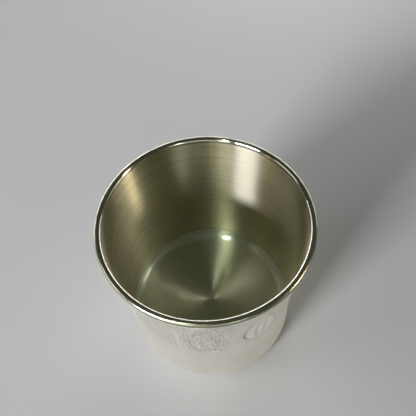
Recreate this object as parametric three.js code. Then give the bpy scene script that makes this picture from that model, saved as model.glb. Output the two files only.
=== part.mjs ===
import * as THREE from 'three';

// A small silver water cup for worship, raised from sheet: a body with a faint waist that flares
// towards a rolled rim, a turned foot under a flat floor, and a carved band round its upper half.
// Lengths are in millimetres, and angles are in degrees. The origin is the centre of the circle
// that the cup stands on, with +Z up.

// Body
const cupHeight = 53;
const rimRadius = 30;
const beadRadius = 0.95;
const waistRadius = 26.2;
const waistHeight = 12;
const wallThickness = 0.7;
const flarePower = 1.9;

// Foot and floor
const footRadius = 26.45;
const cornerRadius = 2.4;
const footWidth = 0.9;
const recessHeight = 1.5;
const recessRun = 1.6;
const floorThickness = 0.9;
const floorFillet = 2.8;

// Carved band, whose widths are measured round the wall and heights from the band's two edges
const bandBottom = 23;
const bandMargin = 4;
const reliefDepth = 0.3;
const groundWidth = 9;

// Medallion with a double border
const medallionHalfWidth = 6;
const medallionMargin = 0.25;
const medallionRoundness = 2.3;
const medallionAngle = -92;

// Lotus bud that hangs on one side of each medallion
const budHalfWidth = 4.9;
const budGap = 2.4;
const budTipMargin = 2.6;
const budTopMargin = 4.8;

// Small leaf spray on the other side
const sprayHalfWidth = 1.2;
const sprayGap = 0.2;
const sprayTipMargin = 4;
const sprayTopMargin = 3.9;

// Facets round the cup and along its profile
const rimFacets = 96;
const insideFacets = 64;
const bandRows = 15;
const cornerSteps = 4;
const waistRows = 4;
const beadSteps = 10;
const innerRows = 5;
const filletSteps = 4;

// Profiles across a motif, from its middle line out: the share of its half width, and how far the
// metal stands out there as a share of the relief
const medallionProfile = [[0, -0.3], [0.38, -0.3], [0.74, -0.3], [0.83, 0.8], [0.91, 0], [1, 1], [1.12, 0]];
const budProfile = [[0, 1], [0.28, 0.1], [0.62, 0.9], [1, 0.3], [1.1, 0]];
const sprayProfile = [[0, 1], [0.5, 0.2], [1, 0.8], [1.2, 0]];

// Above and below a motif its columns keep a strip of this share, so that no facet closes up
const narrowest = 0.3;

// The angle where the bead's round meets the wall, and where each plain ring of facets starts
const beadStart = -120;
const ringStart = -120;

// Places that follow from the sizes above
const beadHeight = cupHeight - beadRadius;
const lipRadius = rimRadius - 2 * beadRadius + wallThickness;
const floorHeight = recessHeight + floorThickness;
const bandTop = beadHeight - bandMargin;
const radians = Math.PI / 180;

// Outermost share of a motif's profile
const edgeOf = (profile) => profile[profile.length - 1][0];

// Half widths with the foot of the carving, and how many times the pattern goes round the cup
const medallionReach = medallionHalfWidth * edgeOf(medallionProfile);
const budReach = budHalfWidth * edgeOf(budProfile);
const sprayReach = sprayHalfWidth * edgeOf(sprayProfile);
const carvedWidth = 2 * (medallionReach + budReach + sprayReach) + budGap + sprayGap;
const patternCount = Math.max(1, Math.round((2 * Math.PI * waistRadius) / (carvedWidth + groundWidth)));
const patternAngle = 360 / patternCount;

// Outside radius of the wall: drawn in from the foot to the waist, then opening towards the lip
function wallRadius(height) {
  if (height < waistHeight) {
    const drop = THREE.MathUtils.clamp((waistHeight - height) / (waistHeight - cornerRadius), 0, 1);
    return waistRadius + ((footRadius - waistRadius) * (1 - Math.cos(Math.PI * drop))) / 2;
  }
  const rise = Math.min((height - waistHeight) / (beadHeight - waistHeight), 1);
  return waistRadius + (lipRadius - waistRadius) * rise ** flarePower;
}

// Half width of the medallion at a height, as a share of its widest: a rounded long oval
function medallionShare(height) {
  const middle = (bandBottom + bandTop) / 2;
  const halfHeight = (bandTop - bandBottom) / 2 - medallionMargin;
  const away = Math.min(Math.abs(height - middle) / halfHeight, 1);
  return (1 - away ** medallionRoundness) ** (1 / medallionRoundness);
}

// Half width of a bud or a spray between its tip and its top, as a share of its widest
function leafShare(height, tipMargin, topMargin) {
  const tip = bandBottom + tipMargin;
  const top = bandTop - topMargin;
  const along = THREE.MathUtils.clamp((height - tip) / (top - tip), 0, 1);
  return Math.sin(Math.PI * along ** 0.75) ** 0.8;
}

// The motifs of one pattern in their order round the cup: where each has its middle line, as a
// length round the wall from the medallion's, and how many plain columns follow it
const motifs = [
  {
    middle: -medallionReach - sprayGap - sprayReach,
    halfWidth: sprayHalfWidth,
    profile: sprayProfile,
    share: (height) => leafShare(height, sprayTipMargin, sprayTopMargin),
    plainColumns: 1,
  },
  {
    middle: 0,
    halfWidth: medallionHalfWidth,
    profile: medallionProfile,
    share: medallionShare,
    plainColumns: 1,
  },
  {
    middle: medallionReach + budGap + budReach,
    halfWidth: budHalfWidth,
    profile: budProfile,
    share: (height) => leafShare(height, budTipMargin, budTopMargin),
    plainColumns: 5,
  },
];

// Columns across one motif at a height: the angle of each, and how far its metal stands out
function motifColumns({ middle, halfWidth, profile, share }, patternMiddle, height) {
  const width = share(height);
  const reach = halfWidth * Math.max(width, narrowest);
  const strength = reliefDepth * Math.min(width / narrowest, 1);
  const mirrored = profile.slice(1).reverse().map(([across, rise]) => [-across, rise]);
  return [...mirrored, ...profile].map(([across, rise]) => ({
    angle: patternMiddle + (middle + across * reach) / waistRadius / radians,
    rise: rise * strength,
  }));
}

// One ring of the carved band, with its columns drawn in and out along the motifs' outlines
function bandRing(height) {
  const columns = [];
  for (let copy = 0; copy < patternCount; copy += 1) {
    const patternMiddle = medallionAngle + copy * patternAngle;
    motifs.forEach((motif, order) => {
      const own = motifColumns(motif, patternMiddle, height);
      const isLast = order === motifs.length - 1;
      const following = motifs[isLast ? 0 : order + 1];
      const followingMiddle = isLast ? patternMiddle + patternAngle : patternMiddle;
      const start = own[own.length - 1].angle;
      const end = motifColumns(following, followingMiddle, height)[0].angle;
      columns.push(...own);
      for (let step = 1; step <= motif.plainColumns; step += 1) {
        columns.push({ angle: start + ((end - start) * step) / (motif.plainColumns + 1), rise: 0 });
      }
    });
  }
  const radius = wallRadius(height);
  return columns.map(({ angle, rise }) => ({ angle, radius: radius + rise, height }));
}

// A plain round ring of facets
function plainRing(radius, height, facets) {
  const ring = [];
  for (let step = 0; step < facets; step += 1) {
    ring.push({ angle: ringStart + (step * 360) / facets, radius, height });
  }
  return ring;
}

// Plain rings along a rounded edge, from one angle of its section to another
function roundRings(centreRadius, centreHeight, radius, from, to, steps, facets) {
  const rings = [];
  for (let step = 0; step <= steps; step += 1) {
    const angle = (from + ((to - from) * step) / steps) * radians;
    const ringRadius = centreRadius + radius * Math.cos(angle);
    rings.push(plainRing(ringRadius, centreHeight + radius * Math.sin(angle), facets));
  }
  return rings;
}

// Underside: the recess and the flat ring that the cup stands on
function footRings() {
  const footInner = footRadius - cornerRadius - footWidth;
  return [
    plainRing(footInner - recessRun, recessHeight, insideFacets),
    plainRing(footInner, 0, insideFacets),
  ];
}

// Outside: the rounded corner above the foot, the plain lower wall and the carved band
function outerRings() {
  const cornerCentre = footRadius - cornerRadius;
  const rings = roundRings(cornerCentre, cornerRadius, cornerRadius, -90, 0, cornerSteps, rimFacets);
  for (let row = 1; row <= waistRows; row += 1) {
    const height = cornerRadius + ((waistHeight - cornerRadius) * row) / waistRows;
    rings.push(plainRing(wallRadius(height), height, rimFacets));
  }
  for (let row = 0; row <= bandRows; row += 1) {
    rings.push(bandRing(bandBottom + ((bandTop - bandBottom) * row) / bandRows));
  }
  return rings;
}

// Inside: the wall from the bead down to the fillet that runs into the floor
function innerRings() {
  const filletTop = floorHeight + floorFillet;
  const filletCentre = wallRadius(filletTop) - wallThickness - floorFillet;
  const rings = [];
  for (let row = 1; row < innerRows; row += 1) {
    const height = beadHeight + ((filletTop - beadHeight) * row) / innerRows;
    rings.push(plainRing(wallRadius(height) - wallThickness, height, insideFacets));
  }
  rings.push(...roundRings(filletCentre, filletTop, floorFillet, 0, -90, filletSteps, insideFacets));
  return rings;
}

// All rings, from the middle of the underside up the outside, over the rim and down to the floor
function cupRings() {
  const beadCentre = rimRadius - beadRadius;
  const bead = roundRings(beadCentre, beadHeight, beadRadius, beadStart, 180, beadSteps, rimFacets);
  return [...footRings(), ...outerRings(), ...bead, ...innerRings()];
}

// Joins two rings with the same columns
function ladder(triangles, lower, upper) {
  lower.forEach((point, step) => {
    const next = (step + 1) % lower.length;
    triangles.push(point.index, lower[next].index, upper[next].index);
    triangles.push(point.index, upper[next].index, upper[step].index);
  });
}

// Joins two rings with different columns, always taking the nearer step ahead
function zipper(triangles, lower, upper) {
  const angleOf = (ring, step) => {
    if (step > ring.length) {
      return Infinity;
    }
    return step === ring.length ? ring[0].angle + 360 : ring[step].angle;
  };
  let below = 0;
  let above = 0;
  while (below < lower.length || above < upper.length) {
    const lowerPoint = lower[below % lower.length].index;
    const upperPoint = upper[above % upper.length].index;
    if (angleOf(lower, below + 1) <= angleOf(upper, above + 1)) {
      below += 1;
      triangles.push(lowerPoint, lower[below % lower.length].index, upperPoint);
    } else {
      above += 1;
      triangles.push(lowerPoint, upper[above % upper.length].index, upperPoint);
    }
  }
}

// One closed skin over all the rings, shut by a point in the middle of the underside and the floor
function cupGeometry() {
  const positions = [];
  const triangles = [];
  const addPoint = (x, y, z) => positions.push(x, y, z) / 3 - 1;
  const rings = cupRings();
  for (const ring of rings) {
    for (const point of ring) {
      const turn = point.angle * radians;
      point.index = addPoint(point.radius * Math.cos(turn), point.radius * Math.sin(turn), point.height);
    }
  }
  const underside = addPoint(0, 0, recessHeight);
  const floor = addPoint(0, 0, floorHeight);
  const first = rings[0];
  const last = rings[rings.length - 1];
  first.forEach((point, step) => {
    triangles.push(underside, first[(step + 1) % first.length].index, point.index);
  });
  for (let row = 1; row < rings.length; row += 1) {
    const join = rings[row].length === rings[row - 1].length ? ladder : zipper;
    join(triangles, rings[row - 1], rings[row]);
  }
  last.forEach((point, step) => {
    triangles.push(floor, point.index, last[(step + 1) % last.length].index);
  });
  const geometry = new THREE.BufferGeometry();
  geometry.setAttribute('position', new THREE.Float32BufferAttribute(positions, 3));
  geometry.setIndex(triangles);
  geometry.computeVertexNormals();
  return geometry;
}

const silver = new THREE.MeshStandardMaterial({ color: 0xc9c7b8, roughness: 0.35, metalness: 1 });
const waterCup = new THREE.Mesh(cupGeometry(), silver);
waterCup.name = 'water_cup';

const model = new THREE.Group();
model.add(waterCup);

export default model;
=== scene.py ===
import math

import bpy
import numpy as np
from mathutils import Matrix, Vector


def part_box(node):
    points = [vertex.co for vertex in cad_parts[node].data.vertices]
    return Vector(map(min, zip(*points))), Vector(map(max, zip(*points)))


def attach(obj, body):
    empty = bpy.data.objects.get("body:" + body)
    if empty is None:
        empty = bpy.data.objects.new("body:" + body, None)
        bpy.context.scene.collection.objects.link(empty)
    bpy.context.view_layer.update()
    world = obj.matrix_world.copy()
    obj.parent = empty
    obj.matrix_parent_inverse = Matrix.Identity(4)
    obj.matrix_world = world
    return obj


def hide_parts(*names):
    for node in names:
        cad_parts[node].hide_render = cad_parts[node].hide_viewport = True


# A silver water cup for worship: satin inside, frosted and carved outside, with a bright rolled rim.
# Everything is in metres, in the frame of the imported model, and only the carving is drawn in millimetres.

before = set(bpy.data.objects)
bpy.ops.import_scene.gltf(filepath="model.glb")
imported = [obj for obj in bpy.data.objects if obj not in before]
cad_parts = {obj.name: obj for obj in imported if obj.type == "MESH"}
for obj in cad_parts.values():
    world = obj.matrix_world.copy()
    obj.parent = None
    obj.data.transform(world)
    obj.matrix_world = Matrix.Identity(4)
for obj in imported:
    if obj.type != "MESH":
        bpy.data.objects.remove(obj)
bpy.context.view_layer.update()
cupLow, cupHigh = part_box("water_cup")
mm = 0.001
perMetre = 1000  # millimetres in a metre
print("frame loaded, cup box", [round(v, 4) for v in (*cupLow, *cupHigh)])


# Small helpers for modelling by hand

def deselectAll():
    if bpy.context.object and bpy.context.object.mode != "OBJECT":
        bpy.ops.object.mode_set(mode="OBJECT")
    bpy.ops.object.select_all(action="DESELECT")


def pick(piece):
    deselectAll()
    bpy.context.view_layer.objects.active = piece
    piece.select_set(True)


def selectFaces(piece, wanted):  # wanted takes the centre of a face
    bpy.ops.object.mode_set(mode="OBJECT")
    chosen = set()
    for polygon in piece.data.polygons:
        polygon.select = wanted(polygon.center)
        if polygon.select:
            chosen.update(tuple(sorted(key)) for key in polygon.edge_keys)
    corners = {corner for key in chosen for corner in key}
    for edge in piece.data.edges:
        edge.select = tuple(sorted(edge.vertices)) in chosen
    for vertex in piece.data.vertices:
        vertex.select = vertex.index in corners
    bpy.ops.object.mode_set(mode="EDIT")
    bpy.ops.mesh.select_mode(type="FACE")


# The cup's form

cup = {
    "height": cupHigh.z,  # over the bead
    "rimRadius": cupHigh.x,  # outside of the bead
    "beadRadius": 0.95 * mm,
    "waistRadius": 26.2 * mm,
    "waistHeight": 12.0 * mm,
    "wall": 0.7 * mm,
    "flarePower": 1.9,
    "footRadius": 26.45 * mm,
    "cornerRadius": 2.4 * mm,
    "footWidth": 0.9 * mm,
    "recessHeight": 1.5 * mm,
    "recessRun": 1.6 * mm,
    "recessEdge": (0.3 * mm, 0.08 * mm),  # how far in and down the underside's soft edge goes
    "footEdge": (0.25 * mm, 0.2 * mm),  # the same inside the ring that the cup stands on
    "floor": 0.9 * mm,
    "fillet": 2.8 * mm,
    "grooveWidth": 0.5 * mm,  # the fine turned line above the fillet
    "grooveDepth": 0.18 * mm,
    "grooveMiddle": 0.4,  # its deepest line, as a share of its width
    "mergeReach": 0.002 * mm,
    "beadStart": 0.9,  # where the wall stops under the bead, in bead radii below its middle
    "beadSweep": (-120, 180),  # degrees
    "columns": 180,  # round the cup
    "undersideRings": 4,
    "cornerSteps": 8,
    "lowerRows": 14,
    "neckRows": 3,
    "beadSteps": 20,
    "insideRows": 24,
    "floorRings": 10,
    "bandCuts": 3,  # each face of the carved band is cut this many times both ways
    "bandRow": 1.0 * mm,
}
cup["beadHeight"] = cup["height"] - cup["beadRadius"]
cup["lipRadius"] = cup["rimRadius"] - 2 * cup["beadRadius"] + cup["wall"]
cup["floorHeight"] = cup["recessHeight"] + cup["floor"]

band = {
    "bottom": 23.0 * mm,
    "top": cup["beadHeight"] - 4.0 * mm,
    "reliefDepth": 0.3,  # in millimetres, the height of a relief of 1
    "copies": 4,
    "middleAngle": math.radians(-92),  # the medallion at the front
    "margin": 0.02 * mm,  # past both edges, so that their own points are carved too
}


def wallRadius(height):
    if height < cup["waistHeight"]:
        drop = min((cup["waistHeight"] - height) / (cup["waistHeight"] - cup["cornerRadius"]), 1)
        swell = cup["footRadius"] - cup["waistRadius"]
        return cup["waistRadius"] + swell * (1 - math.cos(math.pi * drop)) / 2
    rise = min((height - cup["waistHeight"]) / (cup["beadHeight"] - cup["waistHeight"]), 1)
    return cup["waistRadius"] + (cup["lipRadius"] - cup["waistRadius"]) * rise ** cup["flarePower"]


def arcPoints(centreRadius, centreHeight, radius, start, end, steps):
    points = []
    for step in range(steps + 1):
        angle = math.radians(start + (end - start) * step / steps)
        points.append((centreRadius + radius * math.cos(angle), centreHeight + radius * math.sin(angle)))
    return points


def between(low, high, count):  # evenly spaced values between two ends, without the ends
    return [low + (high - low) * step / count for step in range(1, count)]


def outsidePoints(heights):
    return [(wallRadius(height), height) for height in heights]


def insidePoints(heights):
    return [(wallRadius(height) - cup["wall"], height) for height in heights]


def undersideProfile():
    height, corner = cup["recessHeight"], cup["cornerRadius"]
    footInner = cup["footRadius"] - corner - cup["footWidth"]
    recessRadius = footInner - cup["recessRun"]
    edgeIn, edgeDown = cup["recessEdge"]
    footIn, footUp = cup["footEdge"]
    points = [(radius, height) for radius in (0, *between(0, recessRadius, cup["undersideRings"]))]
    points += [(recessRadius - edgeIn, height), (recessRadius, height - edgeDown)]
    points += [(footInner - footIn, footUp), (footInner, 0)]
    return points + arcPoints(cup["footRadius"] - corner, corner, corner, -90, 0, cup["cornerSteps"])


def outsideProfile():
    bottom, top = band["bottom"], band["top"]
    beadCentre = cup["rimRadius"] - cup["beadRadius"]
    neckTop = cup["beadHeight"] - cup["beadStart"] * cup["beadRadius"]
    points = outsidePoints(between(cup["cornerRadius"], bottom, cup["lowerRows"]))
    points += outsidePoints([bottom, *between(bottom, top, round((top - bottom) / cup["bandRow"])), top])
    points += outsidePoints(between(top, neckTop, cup["neckRows"]))
    start, end = cup["beadSweep"]
    return points + arcPoints(beadCentre, cup["beadHeight"], cup["beadRadius"], start, end, cup["beadSteps"])


def insideProfile():
    filletTop = cup["floorHeight"] + cup["fillet"]
    filletCentre = wallRadius(filletTop) - cup["wall"] - cup["fillet"]
    grooveTop = filletTop + cup["grooveWidth"]
    grooveMiddle = filletTop + cup["grooveMiddle"] * cup["grooveWidth"]
    points = insidePoints([*between(cup["beadHeight"], grooveTop, cup["insideRows"]), grooveTop])
    points += [(wallRadius(filletTop) - cup["wall"] + cup["grooveDepth"], grooveMiddle)]
    points += arcPoints(filletCentre, filletTop, cup["fillet"], 0, -90, cup["cornerSteps"])
    points += [(radius, cup["floorHeight"]) for radius in between(filletCentre, 0, cup["floorRings"])]
    return points + [(0, cup["floorHeight"])]


def cupProfile():  # radius and height, from the middle of the underside round to the middle of the floor
    return undersideProfile() + outsideProfile() + insideProfile()


def spinCup():
    deselectAll()
    points = cupProfile()
    bpy.ops.mesh.primitive_plane_add(size=0.001, location=(0, 0, 0))
    piece = bpy.context.object
    piece.name = "silver_cup"
    bpy.ops.object.mode_set(mode="EDIT")
    bpy.ops.mesh.merge(type="CENTER")  # a plane shrunk to one point, which draws the outline
    bpy.ops.transform.translate(value=(points[0][0], 0, points[0][1]))
    for (radius, height), (nextRadius, nextHeight) in zip(points, points[1:]):
        move = (nextRadius - radius, 0, nextHeight - height)
        bpy.ops.mesh.extrude_region_move(TRANSFORM_OT_translate={"value": move})
    bpy.ops.mesh.select_all(action="SELECT")
    bpy.ops.mesh.spin(steps=cup["columns"], angle=2 * math.pi, center=(0, 0, 0), axis=(0, 0, 1))
    bpy.ops.mesh.select_all(action="SELECT")
    bpy.ops.mesh.remove_doubles(threshold=cup["mergeReach"])
    bpy.ops.mesh.normals_make_consistent(inside=False)
    bpy.ops.object.mode_set(mode="OBJECT")
    return piece


silverCup = spinCup()
print("cup spun", len(silverCup.data.polygons), "faces")


# Carving on the band: millimetres up the cup, and round it from the nearest medallion's middle line.
# A relief of 1 stands out by the band's relief depth, and one below 0 is cut in.

def smooth(low, high, value):
    share = np.clip((value - low) / (high - low), 0, 1)
    return share * share * (3 - 2 * share)


def ridge(distance, halfWidth):  # a rounded ridge, 1 on its line and 0 past its half width
    return 0.5 + 0.5 * np.cos(np.pi * np.clip(np.abs(distance) / halfWidth, 0, 1))


leafShape = {
    "widest": 0.75,  # under 1 sets the widest place below the middle
    "fullness": 0.8,
}


def leafShare(height, tip, top):  # a leaf's width at a height, as a share of its widest
    along = np.clip((height - tip) / (top - tip), 0, 1)
    return np.sin(np.pi * along ** leafShape["widest"]) ** leafShape["fullness"]


def line(arc, height, start, end, halfWidth):  # a straight raised line between two places
    run = (end[0] - start[0], end[1] - start[1])
    share = ((arc - start[0]) * run[0] + (height - start[1]) * run[1]) / (run[0] ** 2 + run[1] ** 2)
    share = np.clip(share, 0, 1)
    return ridge(np.hypot(arc - start[0] - share * run[0], height - start[1] - share * run[1]), halfWidth)


punch = {  # the dots punched all over the medallions' ground
    "pitch": 0.68,
    "rise": 0.34,
    "smallest": 0.4,  # radius as a share of the pitch
    "variety": 0.3,
    "core": 0.25,  # the flat top, as a share of the radius
    "squash": 0.8,  # under 1 makes the dots taller than wide
    "repeat": 90,  # dots after which the pattern starts again
    "seed": 11,
}


def stipple(arc, height):  # round punch marks at scattered places, 0 to 1
    pitch, repeat = punch["pitch"], punch["repeat"]
    chance = np.random.default_rng(punch["seed"]).random((3, repeat, repeat))
    column = np.floor(arc / pitch).astype(int)
    row = np.floor(height / pitch).astype(int)
    marks = np.zeros(arc.shape)
    for stepAcross in (-1, 0, 1):
        for stepUp in (-1, 0, 1):
            cellColumn = column + stepAcross
            cellRow = row + stepUp
            shiftAcross, shiftUp, share = chance[:, cellColumn % repeat, cellRow % repeat]
            size = (punch["smallest"] + punch["variety"] * share) * pitch
            awayAcross = arc - (cellColumn + shiftAcross) * pitch
            awayUp = height - (cellRow + shiftUp) * pitch
            away = np.hypot(awayAcross, punch["squash"] * awayUp)
            marks = np.maximum(marks, smooth(size, punch["core"] * size, away))
    return marks


medallion = {
    "halfWidth": 6.0,
    "halfHeight": 12.2,
    "roundness": 2.3,  # 2 is an ellipse, and more is squarer
    "borderHalfWidth": 0.42,
    "innerBorder": 1.02,  # how far inside the outer border the inner one runs
    "innerRise": 0.8,
    "grooveHalfWidth": 0.3,  # between the two borders
    "grooveDepth": 0.9,
    "outerGroove": 0.5,  # how far outside the outer border a thinner groove runs
    "outerGrooveHalfWidth": 0.25,
    "outerGrooveDepth": 0.6,
    "wear": 0.6,  # share of the borders that is worn off on the side of the strokes
    "wearRun": (0.5, 3.5),
    "fieldEdge": 1.7,  # how far inside the border the sunk ground starts
    "fieldSlope": 0.35,
    "fieldDepth": 0.6,
    "strokeLean": 2.2,  # feathered strokes over the right border
    "strokePitch": 2.9,
    "strokeHalfWidth": 0.34,  # as a share of the pitch
    "strokeRise": 1.1,
    "strokeCover": 0.7,  # share of the border that a stroke hides
    "strokeStart": (1.6, 2.6),  # round from the medallion's middle
    "strokeInner": (-3.4, -2.8),  # a stroke's two ends, out from the border
    "strokeOuter": (0.5, 0.1),
    "dotPlace": (-2.9, 30),
    "dotHalfWidth": 0.75,
    "dotRise": 1.2,
    "coverEdge": (1.0, 0.6),
    "leastSize": 0.05,  # both keep the middle from a division by zero
    "leastSlope": 0.02,
}


def outsideMedallion(arc, height):  # distance out from the medallion's outer border
    m = medallion
    middle = perMetre / 2 * (band["bottom"] + band["top"])
    across = np.abs(arc) / m["halfWidth"]
    up = np.abs(height - middle) / m["halfHeight"]
    power = m["roundness"]
    size = np.maximum((across ** power + up ** power) ** (1 / power), m["leastSize"])
    slope = np.hypot((across / size) ** (power - 1) / m["halfWidth"],
                     (up / size) ** (power - 1) / m["halfHeight"])
    return (size - 1) / np.maximum(slope, m["leastSlope"])


def punchedShare(arc, height):  # where the ground is punched with dots
    edge = medallion["fieldEdge"]
    return smooth(medallion["fieldSlope"] - edge, -edge, outsideMedallion(arc, height))


def medallionRelief(arc, height):
    m = medallion
    outside = outsideMedallion(arc, height)
    field = punchedShare(arc, height)
    left = 1 - m["wear"] * smooth(*m["wearRun"], arc)  # of the borders, after the wear
    borders = ridge(outside, m["borderHalfWidth"])
    borders = left * (borders + m["innerRise"] * ridge(outside + m["innerBorder"], m["borderHalfWidth"]))
    grooves = m["grooveDepth"] * ridge(outside + 0.5 * m["innerBorder"], m["grooveHalfWidth"])
    outer = m["outerGrooveDepth"] * ridge(outside - m["outerGroove"], m["outerGrooveHalfWidth"])
    quill = (height + m["strokeLean"] * arc) / m["strokePitch"]
    strokes = ridge((quill % 1) - 0.5, m["strokeHalfWidth"]) * smooth(*m["strokeStart"], arc)
    strokes = strokes * smooth(*m["strokeInner"], outside) * smooth(*m["strokeOuter"], outside)
    dotArc, dotHeight = m["dotPlace"]
    dot = ridge(np.hypot(arc - dotArc, height - dotHeight), m["dotHalfWidth"])
    relief = borders * (1 - m["strokeCover"] * strokes) - m["fieldDepth"] * field
    relief -= left * (grooves + outer)
    relief += field * (1 - strokes) * punch["rise"] / band["reliefDepth"] * stipple(arc, height)
    relief += m["strokeRise"] * strokes + m["dotRise"] * dot * field
    return relief, smooth(*m["coverEdge"], outside)


bud = {
    "middle": 14.51,
    "halfWidth": 4.9,
    "tip": 25.6,
    "top": 43.1,
    "base": 0.15,  # rise of its ground, and of the petals over that
    "petalRise": 0.85,
    "middlePetal": 0.3,  # the petals' places and widths are shares of the half width
    "sidePlace": 0.62,
    "sideWidth": 0.36,
    "sideRise": 0.9,
    "edge": (1.03, 0.97),
    "grooveHalfWidth": 0.1,
    "grooveDepth": 0.8,
    "contour": 1.04,  # the groove round the bud
    "contourDepth": 1.2,
    "veins": 7,
    "veinLean": 1.4,
    "veinHalfWidth": 0.3,
    "veinDepth": 0.25,
    "veinRun": (0.45, 0.95),
    "coverEdge": (1.16, 1.06),
    "leastShare": 0.06,
}


def budRelief(arc, height):
    b = bud
    share = leafShare(height, b["tip"], b["top"])
    along = np.clip((height - b["tip"]) / (b["top"] - b["tip"]), 0, 1)
    reach = np.abs((arc - b["middle"]) / (b["halfWidth"] * np.maximum(share, b["leastShare"])))
    centre = np.clip(1 - (reach / b["middlePetal"]) ** 2, 0, 1)
    sides = np.clip(1 - ((reach - b["sidePlace"]) / b["sideWidth"]) ** 2, 0, 1)
    ends = smooth(0, 0.04, share)  # soft at the tip and the top
    inside = smooth(*b["edge"], reach) * ends
    groove = ridge(reach - b["middlePetal"], b["grooveHalfWidth"])
    groove = groove + b["contourDepth"] * ridge(reach - b["contour"], b["grooveHalfWidth"])
    vein = ridge(((along * b["veins"] + b["veinLean"] * reach) % 1) - 0.5, b["veinHalfWidth"])
    vein = vein * smooth(*b["veinRun"], reach)
    relief = inside * (b["base"] + b["petalRise"] * np.maximum(centre, b["sideRise"] * sides))
    relief = relief - b["grooveDepth"] * groove * ends
    relief -= b["veinDepth"] * vein * inside
    return relief, smooth(*b["coverEdge"], reach) * smooth(0, 0.03, share)


spray = {
    "middle": -8.36,
    "tip": 27.0,
    "top": 44.0,
    "fork": (0.55, 0.45),  # where the leaves leave the drop, as shares of the tip's and the top's heights
    "dropHalfWidth": 1.2,
    "dropAbove": 2.5,  # how far the drop reaches past the fork
    "dropRise": 0.95,
    "dropRoundness": 0.6,
    "leaves": ((-0.30, 0.0), (-0.12, 1.6), (0.08, 2.0), (0.28, 0.8)),  # each one's lean and lift
    "leafHalfWidth": 0.62,
    "leafBelow": 1.2,  # how far under the fork a leaf starts
    "leafShort": 2,  # how far under the top it ends, before its lift
    "leafRise": 1.05,
    "brightCuts": [((-6.6, 41.8), (-7.8, 26.6)), ((-6.5, 30.6), (-6.0, 26.0))],  # beside the medallion
    "cutHalfWidth": 0.34,
    "cutRise": 1.1,
    "cutEdge": (0.1, 0.5),
    "leastShare": 0.08,
}


def sprayRelief(arc, height):
    s = spray
    away = arc - s["middle"]
    fork = s["fork"][0] * s["tip"] + s["fork"][1] * s["top"]
    dropShare = leafShare(height, s["tip"], fork + s["dropAbove"])
    drop = 1 - (away / (s["dropHalfWidth"] * np.maximum(dropShare, s["leastShare"]))) ** 2
    drop = np.clip(drop, 0, 1) * smooth(0, 0.05, dropShare)
    relief = s["dropRise"] * drop ** s["dropRoundness"]
    cover = smooth(0, 0.1, drop)
    for lean, lift in s["leaves"]:
        middle = away - lean * (height - fork)
        share = leafShare(height, fork - s["leafBelow"], s["top"] - s["leafShort"] + lift)
        leaf = 1 - np.abs(middle) / (s["leafHalfWidth"] * np.maximum(share, s["leastShare"]))
        leaf = np.clip(leaf, 0, 1) * smooth(0, 0.1, share)
        relief = np.maximum(relief, s["leafRise"] * leaf)
        cover = np.maximum(cover, smooth(0, 0.1, leaf))
    for start, end in s["brightCuts"]:
        cut = line(arc, height, start, end, s["cutHalfWidth"])
        relief = np.maximum(relief, s["cutRise"] * cut)
        cover = np.maximum(cover, smooth(*s["cutEdge"], cut))
    return relief, cover


fluting = {
    "pitch": 0.82,
    "rise": 0.19,
    "bottomFade": (-0.4, 1.2),  # from the band's bottom edge
    "topFade": (0.2, -1.0),  # from its top edge
}


def groundRelief(arc, height):  # upright fluting between the motifs
    bottom, top = perMetre * band["bottom"], perMetre * band["top"]
    flutes = ridge((arc / fluting["pitch"]) % 1 - 0.5, 0.5) - 0.5
    fade = smooth(bottom + fluting["bottomFade"][0], bottom + fluting["bottomFade"][1], height)
    fade *= smooth(top + fluting["topFade"][0], top + fluting["topFade"][1], height)
    return fluting["rise"] / band["reliefDepth"] * flutes * fade


def bandPlace(angle, height):  # millimetres round from the nearest medallion's middle, and up
    turn = 2 * math.pi / band["copies"]
    local = (angle - band["middleAngle"] + turn / 2) % turn - turn / 2
    return perMetre * local * cup["waistRadius"], perMetre * height


def bandRelief(arc, up):
    relief = groundRelief(arc, up)
    for motif in (medallionRelief, budRelief, sprayRelief):
        carved, cover = motif(arc, up)
        relief = relief * (1 - cover) + carved * cover
    return relief


def carveBand(piece):
    low, high = band["bottom"] - band["margin"], band["top"] + band["margin"]

    def inBand(centre):
        outer = math.hypot(centre.x, centre.y) > wallRadius(centre.z) - cup["wall"] / 2
        return outer and low < centre.z < high

    pick(piece)
    selectFaces(piece, inBand)
    bpy.ops.mesh.subdivide(number_cuts=cup["bandCuts"], quadcorner="INNERVERT")
    bpy.ops.object.mode_set(mode="OBJECT")
    mesh = piece.data
    places = np.empty(len(mesh.vertices) * 3)
    mesh.vertices.foreach_get("co", places)
    places = places.reshape(-1, 3)
    radius = np.hypot(places[:, 0], places[:, 1])
    height = places[:, 2]
    wall = np.array([wallRadius(h) for h in height])
    carved = (radius > wall - cup["wall"] / 2) & (height >= low) & (height <= high)
    angle = np.arctan2(places[carved, 1], places[carved, 0])
    arc, up = bandPlace(angle, height[carved])
    relief = bandRelief(arc, up)
    raised = wall[carved] + band["reliefDepth"] * mm * relief
    places[carved, 0] = raised * np.cos(angle)
    places[carved, 1] = raised * np.sin(angle)
    mesh.vertices.foreach_set("co", places.ravel())
    for name, values in (("relief", relief), ("punched", punchedShare(arc, up))):
        whole = np.zeros(len(mesh.vertices))
        whole[carved] = values
        mesh.attributes.new(name, "FLOAT", "POINT").data.foreach_set("value", whole)
    mesh.update()


carveBand(silverCup)
print("band carved", len(silverCup.data.polygons), "faces")


# Materials

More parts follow.
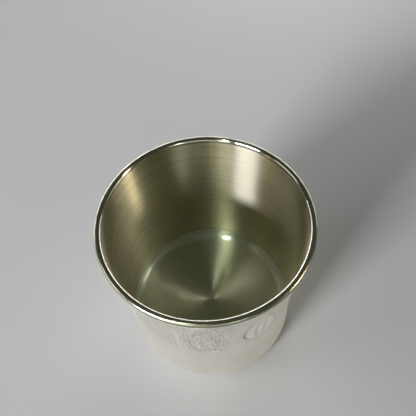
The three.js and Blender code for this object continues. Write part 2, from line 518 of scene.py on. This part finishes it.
class Wire:  # a shader socket, or a number, that can be used in Python sums
    def __init__(self, recipe, socket):
        self.recipe = recipe
        self.socket = socket

    def calculate(self, operation, *others):
        sockets = {index: value for index, value in enumerate((self, *others))}
        return self.recipe.add("ShaderNodeMath", {"operation": operation}, sockets)

    def __add__(self, other): return self.calculate("ADD", other)
    def __radd__(self, other): return self.calculate("ADD", other)
    def __mul__(self, other): return self.calculate("MULTIPLY", other)
    def __rmul__(self, other): return self.calculate("MULTIPLY", other)
    def __sub__(self, other): return self.calculate("SUBTRACT", other)
    def __rsub__(self, other): return self.calculate("MULTIPLY_ADD", -1, other)


class Recipe:  # one material and its nodes
    def __init__(self, name):
        self.material = bpy.data.materials.new(name)
        self.material.use_nodes = True
        self.tree = self.material.node_tree
        self.tree.nodes.clear()

    def add(self, kind, settings=None, sockets=None, output=0):
        node = self.tree.nodes.new(kind)
        for name, value in (settings or {}).items():
            setattr(node, name, value)
        for name, value in (sockets or {}).items():
            if isinstance(value, Wire):
                self.tree.links.new(value.socket, node.inputs[name])
            else:
                node.inputs[name].default_value = value
        return Wire(self, node.outputs[output]) if node.outputs else node

    def place(self):  # object coordinates as x, y, z
        whole = self.add("ShaderNodeTexCoord", output="Object")
        split = self.add("ShaderNodeSeparateXYZ", sockets={0: whole})
        return whole, [Wire(self, split.socket.node.outputs[axis]) for axis in range(3)]

    def vector(self, x, y, z):
        return self.add("ShaderNodeCombineXYZ", {}, {0: x, 1: y, 2: z})

    def length(self, vector, scale):  # of a vector whose parts are first scaled
        scaled = self.add("ShaderNodeVectorMath", {"operation": "MULTIPLY"}, {0: vector, 1: scale})
        return self.add("ShaderNodeVectorMath", {"operation": "LENGTH"}, {0: scaled}, output=1)

    def ringLines(self, x, y, along, scales, detail, roughness=0.5):  # streaks that run round the cup
        roundScale, alongScale = scales
        vector = self.vector(x * roundScale, y * roundScale, along * alongScale)
        return self.noise(vector, 1.0, detail, roughness)

    def noise(self, vector, scale, detail=2.0, roughness=0.5):
        sockets = {"Vector": vector, "Scale": scale, "Detail": detail, "Roughness": roughness}
        return self.add("ShaderNodeTexNoise", {}, sockets)

    def spread(self, value, low, high, newLow, newHigh):
        sockets = {0: value, 1: low, 2: high, 3: newLow, 4: newHigh}
        return self.add("ShaderNodeMapRange", {"interpolation_type": "SMOOTHSTEP"}, sockets)

    def mix(self, share, first, second):
        return self.add("ShaderNodeMix", {"data_type": "RGBA"}, {0: share, 6: first, 7: second}, output=2)

    def bump(self, height, strength, distance, normal=None):
        sockets = {"Height": height, "Strength": strength, "Distance": distance}
        if normal:
            sockets["Normal"] = normal
        return self.add("ShaderNodeBump", {}, sockets)

    def surface(self, **sockets):
        sockets = {name.replace("_", " "): value for name, value in sockets.items()}
        shader = self.add("ShaderNodeBsdfPrincipled", {}, sockets)
        self.add("ShaderNodeOutputMaterial", {}, {"Surface": shader})
        return self.material


def silverTone(red, green, blue):
    return (red, green, blue, 1.0)


satin = {
    "light": silverTone(0.77, 0.73, 0.575),
    "deep": silverTone(0.625, 0.585, 0.45),
    # painted shade: the lip's darker tone dims the bright line reflected along it
    "lip": silverTone(0.66, 0.635, 0.58),
    # painted reflection: the fillet's pale tone stands in for the room reflected in it
    "fillet": silverTone(0.90, 0.95, 0.90),
    "floor": silverTone(0.71, 0.73, 0.61),
    "floorShare": 0.8,
    "roughness": 0.33,
    "filletRoughness": 0.28,
    "floorRoughness": 0.40,
    "lipRoughness": 0.15,
    "roughnessSwing": 0.1,
    "anisotropy": 1.0,
    "turn": 0.25,  # sets the stretched highlights across the brushed lines
    "fineScales": (60, 9000),  # round the cup, and along its wall and floor
    "broadScales": (16, 2300),
    "turnedScales": (30, 3000),
    "cloudScale": 90,
    "cloudShare": 0.2,
    "broadShare": 0.8,
    "toneRange": (0.36, 0.64),
    "filletStart": 0.3 * mm,  # how soon the fillet's painted reflection is full, above the floor
    "filletEnd": (0.6 * mm, 0.2 * mm),  # where it fades out, above the fillet
    "floorEnd": 0.2 * mm,
    "lipRun": (-0.6 * mm, 0.3 * mm),  # from the bead's middle height
    "lineRise": 0.016 * mm,
    "turnedRise": 0.022 * mm,
    "bumpStrength": 0.6,
    "turnedOnFloor": 0.12,
}


def satinInside():  # turned and brushed in rings, so its lines run round the cup
    r = Recipe("satin_silver")
    whole, (x, y, z) = r.place()
    radius = r.length(whole, (1, 1, 0))
    along = z - radius  # runs down the wall and on over the floor
    fine = r.ringLines(x, y, along, satin["fineScales"], 3.0, 0.6)
    broad = r.ringLines(x, y, along, satin["broadScales"], 2.0)
    cloud = r.noise(whole, satin["cloudScale"], 3.0)
    streaks = cloud * satin["cloudShare"] + broad * satin["broadShare"]
    tone = r.mix(r.spread(streaks, *satin["toneRange"], 0, 1), satin["light"], satin["deep"])
    swing = satin["roughnessSwing"]
    rough = satin["roughness"] + swing * (fine - 0.5) + swing * (broad - 0.5)
    floorTop = cup["floorHeight"]
    filletTop = floorTop + cup["fillet"]
    fadeTop, fadeBottom = satin["filletEnd"]
    fillet = r.spread(z, floorTop, floorTop + satin["filletStart"], 0, 1)
    fillet = fillet * r.spread(z, filletTop + fadeTop, filletTop + fadeBottom, 0, 1)
    rough = rough - fillet * (satin["roughness"] - satin["filletRoughness"])
    floor = r.spread(z, floorTop, floorTop + satin["floorEnd"], 1, 0)
    rough = rough - floor * (satin["roughness"] - satin["floorRoughness"])
    # painted reflection on the fillet, over the floor's own tone
    tone = r.mix(fillet, r.mix(floor * satin["floorShare"], tone, satin["floor"]), satin["fillet"])
    lipStart, lipFull = satin["lipRun"]
    lip = r.spread(z, cup["beadHeight"] + lipStart, cup["beadHeight"] + lipFull, 0, 1)
    rough = rough - lip * (satin["roughness"] - satin["lipRoughness"])
    # painted shade along the lip
    tone = r.mix(lip, tone, satin["lip"])
    turned = r.ringLines(x, y, along, satin["turnedScales"], 3.0, 0.6)
    turned = turned * r.spread(z, floorTop, filletTop, satin["turnedOnFloor"], 1)
    normal = r.bump(fine, satin["bumpStrength"], satin["lineRise"])
    normal = r.bump(turned, satin["bumpStrength"], satin["turnedRise"], normal)
    return r.surface(Base_Color=tone, Metallic=1.0, Roughness=rough, Anisotropic=satin["anisotropy"],
                     Anisotropic_Rotation=satin["turn"], Normal=normal)


frost = {
    # painted highlight on the carving's ridges, also used for random lighter clouds
    "light": silverTone(0.98, 0.96, 0.89),
    # painted glints on the punched specks
    "speck": silverTone(1.0, 1.0, 0.98),
    "plain": silverTone(0.82, 0.80, 0.725),
    # painted shade in the carving's hollows
    "deep": silverTone(0.38, 0.36, 0.30),
    "roughness": 0.46,
    "grainSwing": 0.14,
    "ringSwing": 0.06,
    "ridgeGloss": 0.12,  # how much smoother the worn ridges are
    "grainScale": 2600,
    "cloudScale": 130,
    "cloudShare": 0.35,
    "ringScales": (40, 2200),
    "grainRise": 0.02 * mm,
    "bumpStrength": 0.7,
    "speckScale": 1300,
    "speckRange": (0.22, 0.46),  # from a speck's core to its edge
    "plainSpecks": 0.15,  # how strong the specks are off the punched ground
    "punchedSpecks": 0.85,
    "speckRise": 2.5,
    # random patches where the painted shade and painted highlights are weaker
    "paintedLightPatchScale": 420,
    "paintedLightPatchRange": (0.38, 0.58),
    "paintedLightPatchLeast": 0.35,
    # where the painted shade and the painted highlights start and are full
    "hollowRange": (-0.8, 0.1),  # both in reliefs
    "ridgeRange": (0.15, 0.7),
}


def frostedOutside():  # white frosting with painted shade in the carving's depths and painted highlights on its ridges and specks
    r = Recipe("frosted_silver")
    whole, (x, y, z) = r.place()
    relief = r.add("ShaderNodeAttribute", {"attribute_name": "relief"}, output=2)
    punched = r.add("ShaderNodeAttribute", {"attribute_name": "punched"}, output=2)
    cellSockets = {"Vector": whole, "Scale": frost["speckScale"], "Randomness": 1.0}
    cells = r.add("ShaderNodeTexVoronoi", {}, cellSockets)
    specks = r.spread(cells, *frost["speckRange"], 1, 0)
    specks = specks * (frost["plainSpecks"] + frost["punchedSpecks"] * punched)
    grain = r.noise(whole, frost["grainScale"], 3.0, 0.6)
    cloud = r.noise(whole, frost["cloudScale"], 3.0)
    rings = r.ringLines(x, y, z, frost["ringScales"], 2.0)
    # random patches where the painted shade and painted highlights are weaker
    paintedLightPatches = r.spread(r.noise(whole, frost["paintedLightPatchScale"], 2.0), *frost["paintedLightPatchRange"], frost["paintedLightPatchLeast"], 1)
    # painted shade in the hollows and painted highlights on the ridges
    hollows = r.spread(relief + 0.3 * (grain - 0.5), *frost["hollowRange"], 1, 0)
    tone = r.mix(hollows * paintedLightPatches, frost["plain"], frost["deep"])
    tone = r.mix(r.spread(relief, *frost["ridgeRange"], 0, 1) * paintedLightPatches, tone, frost["light"])
    # painted glints on the specks
    tone = r.mix(specks, tone, frost["speck"])
    tone = r.mix(r.spread(cloud, 0.35, 0.75, 0, frost["cloudShare"]), tone, frost["light"])
    rough = frost["roughness"] + frost["grainSwing"] * (grain - 0.5) + frost["ringSwing"] * (rings - 0.5)
    rough = rough - r.spread(relief, 0.4, 1.0, 0, frost["ridgeGloss"])
    height = grain * 0.7 + rings * 0.3 + specks * frost["speckRise"]
    return r.surface(Base_Color=tone, Metallic=1.0, Roughness=rough,
                     Normal=r.bump(height, frost["bumpStrength"], frost["grainRise"]))


polish = {
    "light": silverTone(0.86, 0.84, 0.70),
    "deep": silverTone(0.78, 0.76, 0.60),
    # a darker olive tone on the bead's outer side
    "darkOuterTone": silverTone(0.40, 0.39, 0.30),
    "roughness": 0.14,
    "scratchSwing": 0.08,
    "cloudSwing": 0.06,
    "dullness": 0.12,
    "scratchScales": (150, 7000),
    "scratchRise": 0.002 * mm,
    "bumpStrength": 0.4,
    "cloudScale": 200,
    "darkOuterRun": (0.15 * mm, 0.5 * mm),  # out from the bead's middle circle
    "darkOuterWaver": 0.3 * mm,
    "litLeftRun": (-24 * mm, -8 * mm),  # across the cup, from its left side, where a painted highlight lightens the darker outer tone
    "litLeftShare": 0.35,  # of the darker outer tone that is left there, under the painted highlight
}


def polishedBead():  # burnished, with hair scratches that run round and a darker olive outer side, lightened on the cup's left as a painted highlight
    r = Recipe("polished_silver")
    whole, (x, y, z) = r.place()
    radius = r.length(whole, (1, 1, 0))
    scratches = r.ringLines(x, y, z, polish["scratchScales"], 3.0, 0.6)
    cloud = r.noise(whole, polish["cloudScale"], 2.0)
    tone = r.mix(r.spread(cloud, 0.35, 0.65, 0, 1), polish["light"], polish["deep"])
    middle = cup["rimRadius"] - cup["beadRadius"]
    start, full = polish["darkOuterRun"]
    darkOuter = r.spread(radius + polish["darkOuterWaver"] * (cloud - 0.5), middle + start, middle + full, 0, 1)
    # painted highlight: the darker outer tone fades on the cup's left
    darkOuter = darkOuter * r.spread(x, *polish["litLeftRun"], polish["litLeftShare"], 1)
    tone = r.mix(darkOuter, tone, polish["darkOuterTone"])
    rough = polish["roughness"] + polish["scratchSwing"] * (scratches - 0.5)
    rough = rough + polish["cloudSwing"] * (cloud - 0.5) + polish["dullness"] * darkOuter
    return r.surface(Base_Color=tone, Metallic=1.0, Roughness=rough,
                     Normal=r.bump(scratches, polish["bumpStrength"], polish["scratchRise"]))


finish = {  # where one finish meets the next, in bead radii unless it says otherwise
    "beadFoot": 0.95,
    "beadShell": 0.9,
    "shoulder": 0.05,
    "floorReach": 0.1 * mm,  # in metres, under the floor's top
}


def finishCup(piece):
    for material in (frostedOutside(), satinInside(), polishedBead()):
        piece.data.materials.append(material)
    beadRadius, beadHeight = cup["beadRadius"], cup["beadHeight"]
    beadCentre = cup["rimRadius"] - beadRadius
    for polygon in piece.data.polygons:
        height = polygon.center.z
        radius = math.hypot(polygon.center.x, polygon.center.y)
        inside = radius < wallRadius(height) - cup["wall"] / 2
        inside = inside and height > cup["floorHeight"] - finish["floorReach"]
        fromBead = math.hypot(radius - beadCentre, height - beadHeight)
        bead = height > beadHeight - finish["beadFoot"] * beadRadius
        bead = bead and fromBead > finish["beadShell"] * beadRadius
        shoulder = height > beadHeight and radius < beadCentre - finish["shoulder"] * beadRadius
        polygon.material_index = 1 if inside or shoulder else 2 if bead else 0
    pick(piece)
    bpy.ops.object.shade_smooth()


finishCup(silverCup)
print("cup finished")

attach(silverCup, "root")
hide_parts("water_cup")


# Stage: table, light and camera

stage = {
    "table": (0.61, 0.61, 0.63),
    "tableShade": 0.96,  # of its colour, in its faint clouds
    "tableRoughness": 0.55,
    "tableSize": 3.0,
    "grainRise": 0.02 * mm,
    "world": (0.045, 0.052, 0.037, 1.0),
    "target": (0, 0, 0.03),  # the lights point here, a little over the cup's middle
}


def tableMaterial():
    r = Recipe("pale_table")
    whole = r.place()[0]
    light = (*stage["table"], 1.0)
    shade = (*(stage["tableShade"] * value for value in stage["table"]), 1.0)
    tone = r.mix(r.noise(whole, 6.0, 2.0), light, shade)
    normal = r.bump(r.noise(whole, 900, 2.0), 0.1, stage["grainRise"])
    return r.surface(Base_Color=tone, Roughness=stage["tableRoughness"], Normal=normal)


def buildTable():
    deselectAll()
    bpy.ops.mesh.primitive_plane_add(size=stage["tableSize"], location=(0, 0, 0))
    table = bpy.context.object
    table.name = "table_top"
    table.data.materials.append(tableMaterial())


def aimedAt(place):
    return (Vector(stage["target"]) - Vector(place)).to_track_quat("-Z", "Y").to_euler()


def addPanel(name, azimuth, elevation, distance, width, height, power, colour, onCup):
    a, e = math.radians(azimuth), math.radians(elevation)
    level = distance * math.cos(e)
    place = (level * math.cos(a), level * math.sin(a), distance * math.sin(e))
    deselectAll()
    bpy.ops.object.light_add(type="AREA", location=place, rotation=aimedAt(place))
    panel = bpy.context.object
    panel.name = name
    panel.data.shape = "RECTANGLE"
    panel.data.size = width
    panel.data.size_y = height
    panel.data.energy = power
    panel.data.color = colour
    panel.visible_glossy = onCup
    panel.visible_diffuse = not onCup


cupPanels = {  # seen in the silver only: azimuth, elevation, distance, width, height, power, colour
    "key_panel": (-135, 26.5, 2.0, 0.72, 0.17, 35.5, (0.955, 0.955, 1.0)),
    "back_panel": (90, 5, 2.5, 12.0, 0.45, 130, (1.0, 0.98, 0.95)),
    "front_panel": (-88, 18, 2.5, 2.4, 1.0, 6.4, (1.0, 0.99, 0.87)),
    "warm_panel": (-16, 21, 1.5, 0.18, 0.30, 6.0, (1.0, 0.85, 0.60)),
    "high_panel": (-119, 57, 2.0, 0.05, 0.24, 4.3, (0.88, 1.0, 0.74)),
    "green_panel_left": (-112.5, 19, 2.0, 0.34, 0.42, 3.0, (0.92, 1.0, 0.82)),
    "left_panel": (-176, 23, 2.0, 0.9, 0.5, 2.8, (1.0, 0.96, 0.90)),
    "green_panel_right": (-71, 20, 2.0, 0.26, 0.42, 1.8, (0.85, 1.0, 0.76)),
}

tablePanels = {  # light the table only, in the same order
    "table_key": (-137, 16, 1.5, 0.45, 0.5, 32, (1.0, 0.985, 1.0)),
    "table_fill": (74, 28, 0.38, 0.2, 0.2, 0.42, (0.98, 1.0, 0.99)),
    "table_left": (186, 26, 0.4, 0.2, 0.2, 0.44, (1.0, 0.985, 1.0)),
}

buildTable()
for panels in (cupPanels, tablePanels):
    for name, values in panels.items():
        addPanel(name, *values, onCup=panels is cupPanels)

world = bpy.data.worlds.new("studio")
world.use_nodes = True
world.node_tree.nodes["Background"].inputs[0].default_value = stage["world"]
bpy.context.scene.world = world
bpy.context.scene.view_settings.view_transform = "Standard"
print("table and lights set")

view = {
    "imagePixels": 416,
    "focalPixels": 520,
    "sensorWidth": 36,  # in millimetres, as Blender takes it
    "nearestSeen": 5 * mm,
    "elevation": 56.08,
    "roll": -3.755,
    "distance": 4.6715,  # this and the offsets in rim radii
    "offsetRight": -0.0252,
    "offsetUp": -0.1217,
    "pivotHeight": 51.9 * mm,  # the widest ring of the bead
}


def addCamera():
    elevation, roll = math.radians(view["elevation"]), math.radians(view["roll"])
    forward = Vector((0, math.cos(elevation), -math.sin(elevation)))
    upright = Vector((0, math.sin(elevation), math.cos(elevation)))
    level = Vector((1, 0, 0))
    right = math.cos(roll) * level + math.sin(roll) * upright
    up = -math.sin(roll) * level + math.cos(roll) * upright
    reach = right * view["offsetRight"] + up * view["offsetUp"] + forward * view["distance"]
    place = Vector((0, 0, view["pivotHeight"])) - cup["rimRadius"] * reach
    deselectAll()
    bpy.ops.object.camera_add(location=place)
    camera = bpy.context.object
    camera.name = "photo_camera"
    camera.rotation_euler = Matrix((right, up, -forward)).transposed().to_euler()
    camera.data.sensor_width = view["sensorWidth"]
    camera.data.lens = view["sensorWidth"] * view["focalPixels"] / view["imagePixels"]
    camera.data.clip_start = view["nearestSeen"]
    bpy.context.scene.camera = camera


addCamera()
print("camera set")
